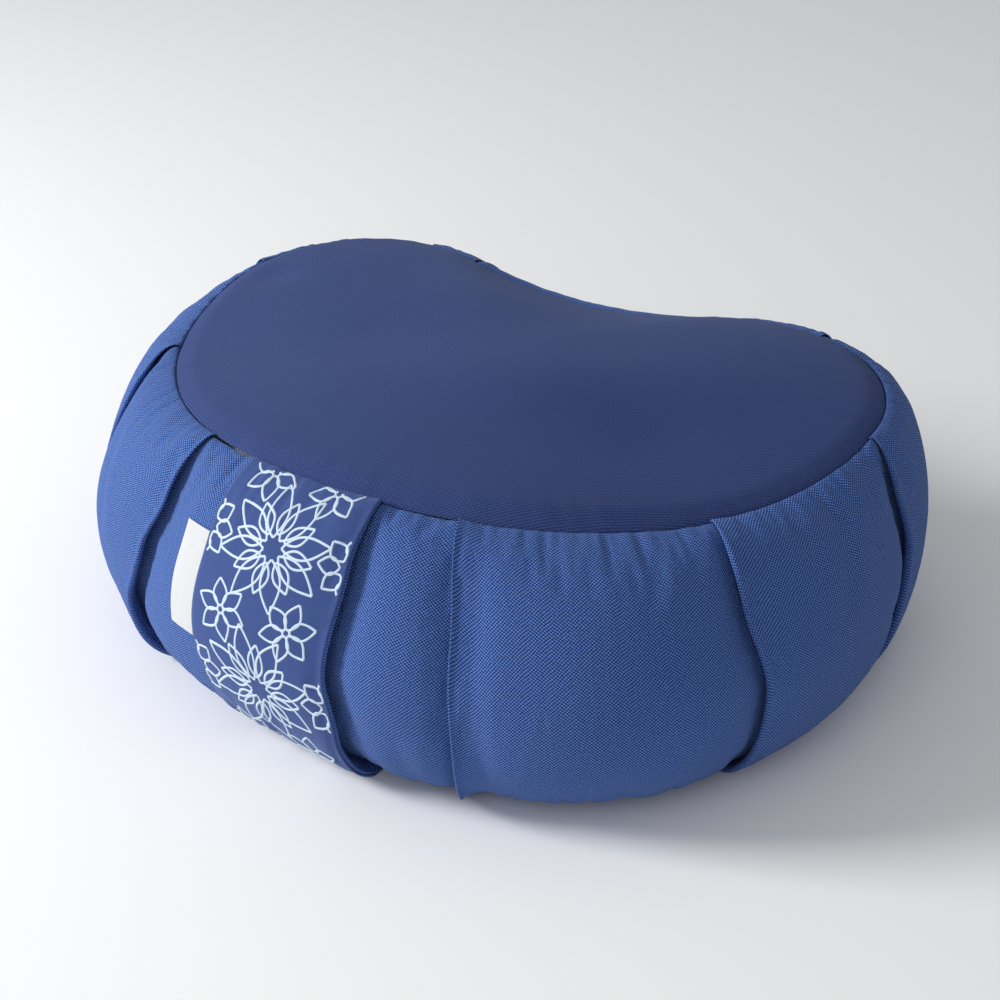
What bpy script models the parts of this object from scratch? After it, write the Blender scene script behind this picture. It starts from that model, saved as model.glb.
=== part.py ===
"""A crescent meditation cushion: a pleated cover with a ribbon and a label, zipped up the hollow
of its back, round a zipped liner full of buckwheat hulls.

Metres, +Z up. The long axis is X, the full round front faces -Y and the hollow back faces +Y.
The origin is on the floor, under the middle of the cushion's bounding box.

The top seam is an outline of four tangent arcs: a round front, a lobe at each end and a hollow
back. Every layer is the same outline moved in or out, so the layers nest without touching.
"""

from collections import namedtuple
from math import atan2, cos, hypot, pi, radians, sin, sqrt

import bmesh
import bpy
from mathutils import Vector

# The outline of the top seam, seen from above
LOBE_X = 0.106  # from the middle to the centre of each lobe
LOBE_RADIUS = 0.082
FRONT_LEAD = 0.004  # the front arc's centre is this far behind the lobes' centres
BACK_RADIUS = 0.220

# The side wall and the two panels
SEAM_HEIGHT = 0.136
SEAM_RISE = 0.005  # how far the wall puffs up beside the top seam
BULGE = 0.042  # how far the wall stands out from the seam
BULGE_HEIGHT = 0.055
BULGE_FLAT = 0.0145  # the wall runs straight this far above and below that height
BULGE_REACH = 0.018  # how gently it curves away from there
CROWN = 0.015
CROWN_POWER = 2.2
DOME_SCALES = (0.96, 0.87, 0.70, 0.46, 0.20)

# Cloth
CLOTH = 0.001
GAP = 0.0003
SEAM_ALLOWANCE = 0.006
LINER_CLOTH = 0.0005
LINER_INSET = 0.011  # room between cover and liner for the liner's zip pull
LINER_SEAM_INSET = 0.004
LINER_DROP = 0.0085  # the liner's top seam is below the cover's seam allowance
LINER_LIFT = 0.002
FILL_INSET = 0.005
FILL_SEAM_INSET = 0.002
FILL_DROP = 0.0035
FILL_LIFT = 0.0018

# The ribbon and the label on the front wall
BAND_WIDTH = 0.076
BAND_CLOTH = 0.0008
BAND_ALONG = -0.023  # its middle, along the top seam from the front's middle
BAND_FOOT = 0.0016
TRIM_LIFT = 0.00045  # clears the wall between two of its facets
LABEL_WIDTH = 0.020
LABEL_CLOTH = 0.0005
LABEL_TOP = 0.110
LABEL_FOOT = 0.056

# The zips: tape, coil, slider and pull, measured from the middle of the tape
TAPE_WIDTH = 0.010
TAPE_CLOTH = 0.0006
TAPE_MARGIN = radians(0.5)  # from the back wall's end to the tape's end
COIL_MARGIN = radians(1.8)
COIL_INNER = 0.0009  # from the zip's middle to the coil
COIL_WIDTH = 0.0020
COIL_DEPTH = 0.0024
ZIP_SLOT = 0.0070  # from the zip's middle to the wall's edge
SLIDER_LENGTH = 0.0110
SLIDER_WIDTH = 0.0086
SLIDER_PLATE = 0.0008
SLIDER_CLEARANCE = 0.00035
SLIDER_RIM = 0.0009
SLIDER_POST = (0.0030, 0.0012)  # length and width of the wedge between the coils
BAIL_LENGTH = 0.0068
BAIL_OPENING = 0.00205  # from the slider to the underside of its bail
BAIL_THICKNESS = 0.0008
BAIL_WIDTH = 0.0016
PIN_HEIGHT = 0.00105  # from the slider to the pull's pivot
PULL_THICKNESS = 0.0010
PULL_WIDTH = 0.0056
PULL_TILT = radians(8)
PULL_EYE = (0.0047, 0.0024)  # the hole round the bail
COVER_PULL = 0.028
LINER_PULL = 0.016
STOP_SIZE = (0.0022, 0.0034, 0.0026)

# Facets
FRONT_STEPS = 20
LOBE_SIDE_STEPS = 7
LOBE_BACK_STEPS = 2
BACK_STEPS = 8
PROFILE_STEPS = 4
TRIM_STEPS = 7

# Worked out from the sizes above
FRONT_RADIUS = LOBE_RADIUS + hypot(LOBE_X, FRONT_LEAD)
BACK_REACH = sqrt((BACK_RADIUS + LOBE_RADIUS) ** 2 - LOBE_X**2)
LOBE_Y = (FRONT_RADIUS - FRONT_LEAD - LOBE_RADIUS + TRIM_LIFT + BAND_CLOTH) / 2
FRONT_Y = LOBE_Y + FRONT_LEAD
BACK_Y = LOBE_Y + BACK_REACH
FRONT_END = atan2(-FRONT_LEAD, LOBE_X)
BACK_HALF = atan2(LOBE_X, BACK_REACH)
LOBE_END = pi / 2 + BACK_HALF
PANEL_CENTRE = Vector((0, LOBE_Y - 0.045, 0))
CORE = Vector((0, 0, 0.06))

Arc = namedtuple("Arc", "x y radius start sweep side steps")
Skin = namedtuple("Skin", "seam bulge top base crown cloth")

# In order round the outline, anticlockwise from above. side is -1 where the outline is hollow.
FRONT = Arc(0, FRONT_Y, FRONT_RADIUS, -pi - FRONT_END, pi + 2 * FRONT_END, 1, FRONT_STEPS)
RIGHT_SIDE = Arc(LOBE_X, LOBE_Y, LOBE_RADIUS, FRONT_END, pi / 2 - FRONT_END, 1, LOBE_SIDE_STEPS)
RIGHT_BACK = Arc(LOBE_X, LOBE_Y, LOBE_RADIUS, pi / 2, LOBE_END - pi / 2, 1, LOBE_BACK_STEPS)
BACK = Arc(0, BACK_Y, BACK_RADIUS, -pi / 2 + BACK_HALF, -2 * BACK_HALF, -1, BACK_STEPS)
LEFT_BACK = Arc(-LOBE_X, LOBE_Y, LOBE_RADIUS, pi - LOBE_END, LOBE_END - pi / 2, 1, LOBE_BACK_STEPS)
LEFT_SIDE = Arc(-LOBE_X, LOBE_Y, LOBE_RADIUS, pi / 2, pi / 2 - FRONT_END, 1, LOBE_SIDE_STEPS)
OUTLINE = (FRONT, RIGHT_SIDE, RIGHT_BACK, BACK, LEFT_BACK, LEFT_SIDE)
FRONT_WALL = (LEFT_BACK, LEFT_SIDE, FRONT, RIGHT_SIDE, RIGHT_BACK)

COVER = Skin(0, BULGE, SEAM_HEIGHT, CLOTH, CROWN, CLOTH)
LINER = Skin(
    -LINER_SEAM_INSET,
    BULGE - LINER_INSET,
    SEAM_HEIGHT - LINER_DROP,
    CLOTH + LINER_LIFT,
    CROWN + LINER_DROP - 0.003,
    LINER_CLOTH,
)
FILL = Skin(
    LINER.seam - FILL_SEAM_INSET,
    LINER.bulge - FILL_INSET,
    LINER.top - FILL_DROP,
    LINER.base + FILL_LIFT,
    LINER.crown,
    0,
)

PARTS = bpy.data.collections.new("crescent_cushion")
CUTTERS = bpy.data.collections.new("cutters")


# The outline and the profile of the wall


def place(arc, share, offset, height):
    """The point at this share of an arc, moved out of the cushion by offset."""
    angle = arc.start + share * arc.sweep
    reach = arc.radius + arc.side * offset
    return Vector((arc.x + reach * cos(angle), arc.y + reach * sin(angle), height))


def ring(offset, height, scale=1):
    """The outline as a closed ring of points, scaled about the middle of the panel."""
    points = []
    for arc in OUTLINE:
        points += [place(arc, i / arc.steps, offset, height) for i in range(arc.steps)]
    middle = PANEL_CENTRE + Vector((0, 0, height))
    return [middle + scale * (point - middle) for point in points]


def bezier(a, b, c, d, t):
    """A point of the cubic curve from a to d, with handles b and c."""
    s = 1 - t
    weights = (s**3, 3 * s * s * t, 3 * s * t * t, t**3)
    return tuple(sum(w * p[i] for w, p in zip(weights, (a, b, c, d))) for i in (0, 1))


def wall_profile(skin):
    """(offset, height) down the wall, from the top seam over the bulge to the bottom seam."""
    depth = skin.bulge - skin.seam
    shoulder = (skin.seam + 0.45 * depth, skin.top + SEAM_RISE)
    upper, lower = BULGE_HEIGHT + BULGE_FLAT, BULGE_HEIGHT - BULGE_FLAT
    upper_handle = (skin.bulge, upper + BULGE_REACH)
    lower_handle = (skin.bulge, lower - BULGE_REACH)
    foot = (skin.seam + 0.75 * depth, skin.base)
    top, bottom = (skin.seam, skin.top), (skin.seam, skin.base)
    shares = [i / PROFILE_STEPS for i in range(PROFILE_STEPS + 1)]
    above = [bezier(top, shoulder, upper_handle, (skin.bulge, upper), t) for t in shares]
    below = [bezier((skin.bulge, lower), lower_handle, foot, bottom, t) for t in shares]
    return above + below


def between(profile, high, low):
    """The stretch of a wall profile from one height down to another."""
    inside = [point for point in profile if low < point[1] < high]
    return [crossing(profile, high), *inside, crossing(profile, low)]


def crossing(profile, height):
    """The point where the profile passes this height on its way down."""
    for (offset_a, a), (offset_b, b) in zip(profile, profile[1:]):
        if a >= height >= b:
            share = (a - height) / (a - b)
            return (offset_a + share * (offset_b - offset_a), height)
    raise ValueError(f"no part of this wall is {height} m high")


def part_of(arc, start, end, steps):
    """The stretch of an arc between two shares of it."""
    return arc._replace(
        start=arc.start + start * arc.sweep, sweep=(end - start) * arc.sweep, steps=steps
    )


def middle_of(arc, half_angle, steps):
    """The stretch of an arc that reaches half_angle either side of its middle."""
    share = half_angle / abs(arc.sweep)
    return part_of(arc, 0.5 - share, 0.5 + share, steps)


# Objects


def material(name, colour, roughness, metallic=0.0):
    """A Principled material of one colour."""
    made = bpy.data.materials.new(name)
    made.use_nodes = True
    shader = made.node_tree.nodes["Principled BSDF"]
    shader.inputs["Base Color"].default_value = (*colour, 1)
    shader.inputs["Roughness"].default_value = roughness
    shader.inputs["Metallic"].default_value = metallic
    return made


def named_object(name, data, look, collection=PARTS):
    """Links a mesh or curve into the model under this name."""
    made = bpy.data.objects.new(name, data)
    data.materials.append(look)
    collection.objects.link(made)
    return made


def object_from(bm, name, look):
    """Turns a finished bmesh into an object."""
    mesh = bpy.data.meshes.new(name)
    bm.to_mesh(mesh)
    bm.free()
    mesh.shade_smooth()
    mesh.set_sharp_from_angle(angle=radians(40))
    return named_object(name, mesh, look)


def face_outward(bm):
    """Turns an open surface so that its faces look away from the middle of the cushion."""
    bm.normal_update()
    outward = sum(f.calc_area() * f.normal.dot(f.calc_center_median() - CORE) for f in bm.faces)
    if outward < 0:
        bmesh.ops.reverse_faces(bm, faces=bm.faces[:])
        bm.normal_update()


def lift(bm, distance):
    """Moves a surface out of the cushion along its own normals."""
    moves = [(v, v.co + distance * v.normal) for v in bm.verts]
    for vertex, target in moves:
        vertex.co = target


def thicken(made, thickness, outward=False):
    """Gives a cloth surface its thickness, inward unless told otherwise."""
    solidify = made.modifiers.new("cloth", "SOLIDIFY")
    solidify.thickness = thickness
    solidify.offset = 1 if outward else -1
    solidify.use_even_offset = True


def spun(profile, arcs, closed=False):
    """Spins a profile of (offset, height) points round one arc after another."""
    bm = bmesh.new()
    verts = [bm.verts.new(place(arcs[0], 0, offset, height)) for offset, height in profile]
    pairs = list(zip(verts, verts[1:]))
    if closed:
        pairs.append((verts[-1], verts[0]))
    geometry = verts + [bm.edges.new(pair) for pair in pairs]
    for arc in arcs:
        turned = bmesh.ops.spin(
            bm,
            geom=geometry,
            cent=(arc.x, arc.y, 0),
            axis=(0, 0, 1),
            angle=arc.sweep,
            steps=arc.steps,
        )
        geometry = turned["geom_last"]
    return bm


def cloth_strip(name, profile, arcs, look, thickness, raised=0.0):
    """A strip of cloth that follows the wall. A raised strip lies on it, a lowered one behind."""
    bm = spun(profile, arcs)
    face_outward(bm)
    lift(bm, raised)
    made = object_from(bm, name, look)
    thicken(made, thickness, outward=raised > 0)
    return made


def swept_rod(name, section, arcs, look):
    """A solid rod with this closed section, along the arcs."""
    bm = spun(section, arcs, closed=True)
    bmesh.ops.holes_fill(bm, edges=[e for e in bm.edges if e.is_boundary], sides=0)
    bmesh.ops.recalc_face_normals(bm, faces=bm.faces[:])
    return object_from(bm, name, look)


def lofted(rings, cap_first, cap_last):
    """Joins closed rings of points into one surface, and fills its ends if asked."""
    bm = bmesh.new()
    loops = [[bm.verts.new(point) for point in points] for points in rings]
    count = len(loops[0])
    for below, above in zip(loops, loops[1:]):
        for i in range(count):
            j = (i + 1) % count
            bm.faces.new((below[i], below[j], above[j], above[i]))
    if cap_first:
        bm.faces.new(reversed(loops[0]))
    if cap_last:
        bm.faces.new(loops[-1])
    return bm


# Panels and walls


def dome_rings(skin, inset):
    """Rings from the edge of a top panel up over its crown."""
    heights = [(s, skin.top + skin.crown * (1 - s**CROWN_POWER)) for s in (1, *DOME_SCALES)]
    return [ring(skin.seam - inset, height, scale) for scale, height in heights]


def top_panel(name, skin, look, allowance):
    """The crowned top, its edge turned down inside where it has a seam allowance."""
    rings = dome_rings(skin, GAP)
    if allowance:
        rings.insert(0, ring(skin.seam - GAP, skin.top - allowance))
    bm = lofted(rings, cap_first=False, cap_last=True)
    face_outward(bm)
    thicken(object_from(bm, name, look), skin.cloth)


def bottom_panel(name, skin, underside, look):
    """The flat bottom."""
    edges = [ring(skin.seam - GAP, height) for height in (underside, underside + skin.cloth)]
    object_from(lofted(edges, cap_first=True, cap_last=True), name, look)


def front_wall(name, skin, look, allowance):
    """The long wall round the front and both lobes."""
    profile = wall_profile(skin)
    if allowance:
        profile.insert(0, (skin.seam, skin.top - allowance))
    cloth_strip(name, profile, FRONT_WALL, look, skin.cloth)


def back_walls(prefix, skin, look, allowance):
    """The two strips of the hollow back, above and below the zip."""
    profile = wall_profile(skin)
    arcs = [part_of(BACK, 0.003, 0.997, BACK_STEPS)]
    upper = [point for point in profile if point[1] > BULGE_HEIGHT + ZIP_SLOT]
    upper.append(crossing(profile, BULGE_HEIGHT + ZIP_SLOT))
    if allowance:
        upper.insert(0, (skin.seam, skin.top - allowance))
    lower = [point for point in profile if point[1] < BULGE_HEIGHT - ZIP_SLOT]
    lower.insert(0, crossing(profile, BULGE_HEIGHT - ZIP_SLOT))
    cloth_strip(f"{prefix}_back_wall_upper", upper, arcs, look, skin.cloth)
    cloth_strip(f"{prefix}_back_wall_lower", lower, arcs, look, skin.cloth)


def hull_filling(look):
    """The hulls as one solid, as they fill the liner."""
    wall = [ring(offset, height) for offset, height in reversed(wall_profile(FILL))]
    rings = wall + dome_rings(FILL, 0)[1:]
    object_from(lofted(rings, cap_first=True, cap_last=True), "hull_filling", look)


# The ribbon and the label


def constant_width(bm, middle_angle, left, right):
    """Narrows a strip spun on the front arc so that its edges run straight down the wall."""
    for vertex in bm.verts:
        away = Vector((vertex.co.x, vertex.co.y - FRONT_Y))
        angle = atan2(away.y, away.x) - middle_angle
        angle *= FRONT_RADIUS / away.length
        x, y = away.length * cos(middle_angle + angle), away.length * sin(middle_angle + angle)
        vertex.co = Vector((x, FRONT_Y + y, vertex.co.z))


def front_trim(name, along, width, high, low, look, thickness):
    """A straight-edged strip of cloth on the front wall, its middle this far along the seam."""
    middle = -pi / 2 + BAND_ALONG / FRONT_RADIUS
    start = -pi / 2 + (along - width / 2) / FRONT_RADIUS
    arc = FRONT._replace(start=start, sweep=width / FRONT_RADIUS, steps=TRIM_STEPS)
    bm = spun(between(wall_profile(COVER), high, low), [arc])
    constant_width(bm, middle, along, width)
    face_outward(bm)
    lift(bm, TRIM_LIFT)
    thicken(object_from(bm, name, look), thickness, outward=True)


# The zips


def slider_boxes(height):
    """The boxes of a slider: two rimmed plates on a wedge, and the bail for the pull."""
    plate_at = height / 2 + SLIDER_PLATE / 2
    rim_at = SLIDER_WIDTH / 2 - SLIDER_RIM / 2
    rim_low = TAPE_CLOTH / 2 + SLIDER_CLEARANCE
    rim_high = height / 2 + SLIDER_PLATE / 2
    post_at = -SLIDER_LENGTH / 2 + SLIDER_POST[0] / 2
    boxes = []
    for side in (1, -1):
        plate = (SLIDER_LENGTH, SLIDER_PLATE, SLIDER_WIDTH)
        boxes.append(((0, side * plate_at, 0), plate))
        for edge in (1, -1):
            centre = (0, side * (rim_low + rim_high) / 2, edge * rim_at)
            boxes.append((centre, (SLIDER_LENGTH, rim_high - rim_low, SLIDER_RIM)))
    wedge = (SLIDER_POST[0], height + SLIDER_PLATE, SLIDER_POST[1])
    boxes.insert(1, ((post_at, 0, 0), wedge))
    return boxes + bail_boxes(height / 2 + SLIDER_PLATE)


def bail_boxes(surface):
    """The arch that the pull hangs on: two legs and a bar."""
    leg_height = BAIL_OPENING + BAIL_THICKNESS
    bar_at = surface + BAIL_OPENING + BAIL_THICKNESS / 2
    boxes = []
    for end in (1, -1):
        at = end * (BAIL_LENGTH - BAIL_THICKNESS) / 2
        centre = (at, surface - SLIDER_PLATE / 4 + leg_height / 2, 0)
        boxes.append((centre, (BAIL_THICKNESS, leg_height + SLIDER_PLATE / 2, BAIL_WIDTH)))
    boxes.append(((0, bar_at, 0), (BAIL_LENGTH, BAIL_THICKNESS, BAIL_WIDTH)))
    return boxes


def box(name, centre, size, look, collection=PARTS):
    """A box with its own corners in place, so that the object stays at the origin."""
    bm = bmesh.new()
    bmesh.ops.create_cube(bm, size=1)
    bmesh.ops.scale(bm, vec=size, verts=bm.verts)
    bmesh.ops.translate(bm, vec=centre, verts=bm.verts)
    mesh = bpy.data.meshes.new(name)
    bm.to_mesh(mesh)
    bm.free()
    return named_object(name, mesh, look, collection)


def fused(name, boxes, look):
    """One solid from boxes that overlap."""
    made = box(name, *boxes[0], look)
    for number, (centre, size) in enumerate(boxes[1:]):
        tool = box(f"{name}_box_{number}", centre, size, look, CUTTERS)
        tool.parent = made
        tool.hide_render = True
        tool.display_type = "WIRE"
        join = made.modifiers.new("join", "BOOLEAN")
        join.operation = "UNION"
        join.object = tool
    return made


def rounded_outline(left, right, width, corner, steps=3):
    """Points round a rectangle with round corners."""
    points = []
    corners = ((right, 1, 0), (left, 1, 1), (left, -1, 2), (right, -1, 3))
    for end, side, quarter in corners:
        x = end - corner if end == right else end + corner
        y = side * (width / 2 - corner)
        for i in range(steps + 1):
            angle = (quarter + i / steps) * pi / 2
            points.append((x + corner * cos(angle), y + corner * sin(angle)))
    return points


def pull_tab(name, length, look):
    """A flat tab with an eye round the bail. Its origin is on the pivot."""
    data = bpy.data.curves.new(name, "CURVE")
    data.dimensions = "2D"
    data.fill_mode = "BOTH"
    data.extrude = PULL_THICKNESS / 2
    half = PULL_THICKNESS / 2
    outer = rounded_outline(-half, length, PULL_WIDTH, 0.0004)
    eye = rounded_outline(half, half + PULL_EYE[0], PULL_EYE[1], 0.0003)
    for outline in (outer, eye):
        spline = data.splines.new("POLY")
        spline.points.add(len(outline) - 1)
        spline.use_cyclic_u = True
        for point, (x, y) in zip(spline.points, outline):
            point.co = (x, y, 0, 1)
    return named_object(name, data, look)


def zip_reach(skin):
    """The radius of the middle of the tape, about the centre of the hollow back."""
    tape_at = skin.bulge - skin.cloth - GAP - TAPE_CLOTH / 2
    return BACK_RADIUS - tape_at


def zip_tapes(prefix, skin, look):
    """The two tapes, sewn behind the edges of the back wall."""
    profile = wall_profile(skin)
    arcs = [middle_of(BACK, BACK_HALF - TAPE_MARGIN, BACK_STEPS)]
    near = COIL_INNER + COIL_WIDTH + GAP
    for word, side in (("upper", 1), ("lower", -1)):
        heights = sorted((BULGE_HEIGHT + side * near, BULGE_HEIGHT + side * (near + TAPE_WIDTH)))
        strip = between(profile, heights[1], heights[0])
        name = f"{prefix}_zip_tape_{word}"
        cloth_strip(name, strip, arcs, look, TAPE_CLOTH, raised=-skin.cloth - GAP)


def zip_coils(prefix, skin, look):
    """The two nylon coils, each a plain rod of the coil's outer size."""
    arcs = [middle_of(BACK, BACK_HALF - COIL_MARGIN, BACK_STEPS)]
    tape_at = BACK_RADIUS - zip_reach(skin)
    for word, side in (("upper", 1), ("lower", -1)):
        middle = BULGE_HEIGHT + side * (COIL_INNER + COIL_WIDTH / 2)
        section = []
        for i in range(6):
            turn = pi / 6 + i * pi / 3
            offset = tape_at + COIL_DEPTH / 2 * sin(turn)
            section.append((offset, middle + COIL_WIDTH / 2 * cos(turn) / cos(pi / 6)))
        swept_rod(f"{prefix}_zip_coil_{word}", section, arcs, look)


def on_zip(made, skin, angle, pivot):
    """Parents a piece to the centre of the hollow back, at this angle along the zip."""
    made.parent = pivot
    reach = zip_reach(skin)
    made.location = (reach * sin(angle), -reach * cos(angle), BULGE_HEIGHT)
    made.rotation_euler = (0, 0, angle)


def zip_stops(prefix, skin, look, pivot):
    """A top stop on each coil at the closed end, and one bottom stop across both."""
    length, depth, width = STOP_SIZE
    angle = BACK_HALF - COIL_MARGIN + (length / 2 + 2 * GAP) / zip_reach(skin)
    for word, side in (("upper", 1), ("lower", -1)):
        at = side * (COIL_INNER / 2 + width / 2)
        stop = box(f"{prefix}_zip_top_stop_{word}", (0, 0, at), (length, depth, width), look)
        on_zip(stop, skin, -angle, pivot)
    across = (length, depth, 2 * (COIL_INNER + COIL_WIDTH))
    bottom = box(f"{prefix}_zip_bottom_stop", (0, 0, 0), across, look)
    on_zip(bottom, skin, angle, pivot)


def slider_parking(skin):
    """The slider's angle from the middle of the back when it is at either end."""
    return BACK_HALF - COIL_MARGIN - (SLIDER_LENGTH / 2 + GAP) / zip_reach(skin)


def zip_runner(prefix, skin, pull_length, look, pivot):
    """The slider, parked at the closed end, and its pull."""
    height = COIL_DEPTH + 2 * SLIDER_CLEARANCE
    slider = fused(f"{prefix}_zip_slider", slider_boxes(height), look)
    on_zip(slider, skin, -slider_parking(skin), pivot)
    pull = pull_tab(f"{prefix}_zip_pull", pull_length, look)
    pull.parent = slider
    pull.location = (0, height / 2 + SLIDER_PLATE + PIN_HEIGHT, 0)
    pull.rotation_euler = (pi / 2, 0, PULL_TILT)


def zip_fastener(prefix, skin, pull_length, tape_look, metal_look):
    """A whole zip along the hollow back."""
    pivot = bpy.data.objects.new(f"{prefix}_zip_centre", None)
    pivot.location = (0, BACK_Y, 0)
    PARTS.objects.link(pivot)
    zip_tapes(prefix, skin, tape_look)
    zip_coils(prefix, skin, tape_look)
    zip_stops(prefix, skin, metal_look, pivot)
    zip_runner(prefix, skin, pull_length, metal_look, pivot)


def clear_scene():
    """Empties the scene."""
    for old in list(bpy.data.objects):
        bpy.data.objects.remove(old)


def main():
    clear_scene()
    bpy.context.scene.collection.children.link(PARTS)
    bpy.context.scene.collection.children.link(CUTTERS)
    canvas = material("blue_canvas", (0.045, 0.088, 0.26), 0.85)
    ribbon = material("woven_ribbon", (0.038, 0.075, 0.24), 0.75)
    white = material("white_label", (0.80, 0.81, 0.80), 0.80)
    zip_cloth = material("blue_zip_tape", (0.030, 0.050, 0.16), 0.70)
    calico = material("natural_calico", (0.72, 0.66, 0.53), 0.90)
    pale_zip = material("pale_zip_tape", (0.78, 0.76, 0.70), 0.70)
    metal = material("nickel", (0.62, 0.61, 0.58), 0.30, 1.0)
    hulls = material("buckwheat_hulls", (0.055, 0.032, 0.020), 0.80)

    top_panel("cover_top_panel", COVER, canvas, SEAM_ALLOWANCE)
    bottom_panel("cover_bottom_panel", COVER, 0, canvas)
    front_wall("cover_front_wall", COVER, canvas, SEAM_ALLOWANCE)
    back_walls("cover", COVER, canvas, SEAM_ALLOWANCE)
    zip_fastener("cover", COVER, COVER_PULL, zip_cloth, metal)

    top_panel("liner_top_panel", LINER, calico, 0)
    bottom_panel("liner_bottom_panel", LINER, CLOTH + GAP, calico)
    front_wall("liner_front_wall", LINER, calico, 0)
    back_walls("liner", LINER, calico, 0)
    zip_fastener("liner", LINER, LINER_PULL, pale_zip, metal)
    hull_filling(hulls)

    front_trim("decorative_band", BAND_ALONG, BAND_WIDTH, SEAM_HEIGHT, BAND_FOOT, ribbon, BAND_CLOTH)
    label_at = BAND_ALONG - BAND_WIDTH / 2 - LABEL_WIDTH / 2 - GAP
    front_trim("side_label", label_at, LABEL_WIDTH, LABEL_TOP, LABEL_FOOT, white, LABEL_CLOTH)


main()
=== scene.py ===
from math import atan2, cos, hypot, pi, radians, sin, sqrt

import bmesh
import bpy
import numpy as np
from mathutils import Matrix, Vector


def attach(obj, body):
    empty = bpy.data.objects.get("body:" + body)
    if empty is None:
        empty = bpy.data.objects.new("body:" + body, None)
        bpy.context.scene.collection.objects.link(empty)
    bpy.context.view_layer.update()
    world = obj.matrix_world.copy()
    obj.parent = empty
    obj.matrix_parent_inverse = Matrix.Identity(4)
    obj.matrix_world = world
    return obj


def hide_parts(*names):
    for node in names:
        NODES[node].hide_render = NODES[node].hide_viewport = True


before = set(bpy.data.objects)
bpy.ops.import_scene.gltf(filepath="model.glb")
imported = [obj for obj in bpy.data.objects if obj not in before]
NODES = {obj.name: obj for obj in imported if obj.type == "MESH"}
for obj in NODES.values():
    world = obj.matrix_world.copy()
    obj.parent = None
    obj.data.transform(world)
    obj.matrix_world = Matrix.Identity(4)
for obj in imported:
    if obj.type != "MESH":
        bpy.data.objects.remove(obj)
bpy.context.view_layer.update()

# The CAD outline of the top seam: front arc, two lobes and a hollow back, in metres
LOBE_X, LOBE_RADIUS = 0.106, 0.082
FRONT_LEAD = 0.004
BACK_RADIUS = 0.220
TRIM_STAND = 0.00125  # the CAD centres its outline with the band's thickness counted in
FRONT_RADIUS = LOBE_RADIUS + hypot(LOBE_X, FRONT_LEAD)
BACK_REACH = sqrt((BACK_RADIUS + LOBE_RADIUS) ** 2 - LOBE_X**2)
LOBE_Y = (FRONT_RADIUS - FRONT_LEAD - LOBE_RADIUS + TRIM_STAND) / 2
FRONT_Y = LOBE_Y + FRONT_LEAD
BACK_Y = LOBE_Y + BACK_REACH
FRONT_END = atan2(-FRONT_LEAD, LOBE_X)
BACK_HALF = atan2(LOBE_X, BACK_REACH)
LOBE_END = pi / 2 + BACK_HALF
FRONT_LENGTH = FRONT_RADIUS * (pi / 2 + FRONT_END)
LOBE_LENGTH = LOBE_RADIUS * (LOBE_END - FRONT_END)
BACK_START = FRONT_LENGTH + LOBE_LENGTH
HALF = BACK_START + BACK_RADIUS * BACK_HALF
PANEL_CENTRE = (0.0, LOBE_Y - 0.045)

# The zip's place on the hollow back, as in the CAD
ZIP_HEIGHT = 0.055
ZIP_FLAT = 0.0145
ZIP_SLOT = 0.0062
TOPSTITCH = 0.0052  # from a strip's edge to its line of stitches
CAD_BULGE = 0.042
CLOTH = 0.001

# How the filled cover sags: bulge and seam height at eight equal steps round the seam,
# from the middle of the front towards +X
BULGES = (0.040, 0.053, 0.024, 0.033, 0.040, 0.019, 0.031, 0.037)
SEAM_HEIGHTS = (0.138, 0.130, 0.1325, 0.139, 0.134, 0.140, 0.130, 0.132)
WIDEST = 0.054
CROWN, CROWN_POWER = 0.015, 2.2
REACH = 0.018

# Knife pleats: path along the seam at shares of the way down the wall, side the fold edge
# faces, ridge height, ridge width, valley under the edge, roundness of the fold
TUCK = 0.0125
PLEAT_ZONE = 0.0070  # each side of a fold edge, where the wall's columns are closest
PLEATS = (
    (((0, -0.420), (1, -0.416)), 1, 0.0040, 0.014, 0.0015, 0.30),
    (((0, -0.318), (0.5, -0.310), (1, -0.318)), 1, 0.0042, 0.014, 0.0015, 0.30),
    (((0, -0.212), (0.2, -0.197), (0.6, -0.200), (1, -0.206)), 1, 0.0050, 0.015, 0.0020, 0.30),
    (
        ((0, -0.094), (0.25, -0.098), (0.45, -0.106), (0.70, -0.120), (1, -0.112)),
        1, 0.0066, 0.017, 0.0024, 0.24,
    ),
    (((0, 0.016), (0.20, 0.012), (0.48, 0.008), (0.68, 0.013), (1, 0.022)), 1, 0.0056, 0.018, 0.0026, 0.20),
    (((0, 0.053), (0.35, 0.057), (0.8, 0.061), (1, 0.060)), -1, 0.0028, 0.0035, 0.0014, 0.24),
    (((0, 0.170), (0.25, 0.171), (0.50, 0.177), (1, 0.170)), -1, 0.0062, 0.014, 0.0022, 0.44),
    (((0, 0.282), (0.18, 0.282), (0.45, 0.289), (1, 0.282)), -1, 0.0056, 0.014, 0.0020, 0.40),
    (((0, 0.396), (0.5, 0.404), (1, 0.398)), -1, 0.0042, 0.014, 0.0015, 0.30),
)
LEFT_PLEAT, BAND_PLEAT, THIN_PLEAT, ROLLED_PLEAT = PLEATS[3], PLEATS[4], PLEATS[5], PLEATS[6]

BAND_WIDTH = 0.076
BAND_HEM = 0.0016  # plain edge that the embroidery stays clear of
LABEL_WIDTH = 0.0225
LABEL_FROM, LABEL_TO = 0.040, 0.089  # along the wall, from the top seam

TABLE = 160


def smooth(x):
    """Eases from 0 to 1 as x does."""
    x = np.clip(x, 0, 1)
    return x * x * (3 - 2 * x)


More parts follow.
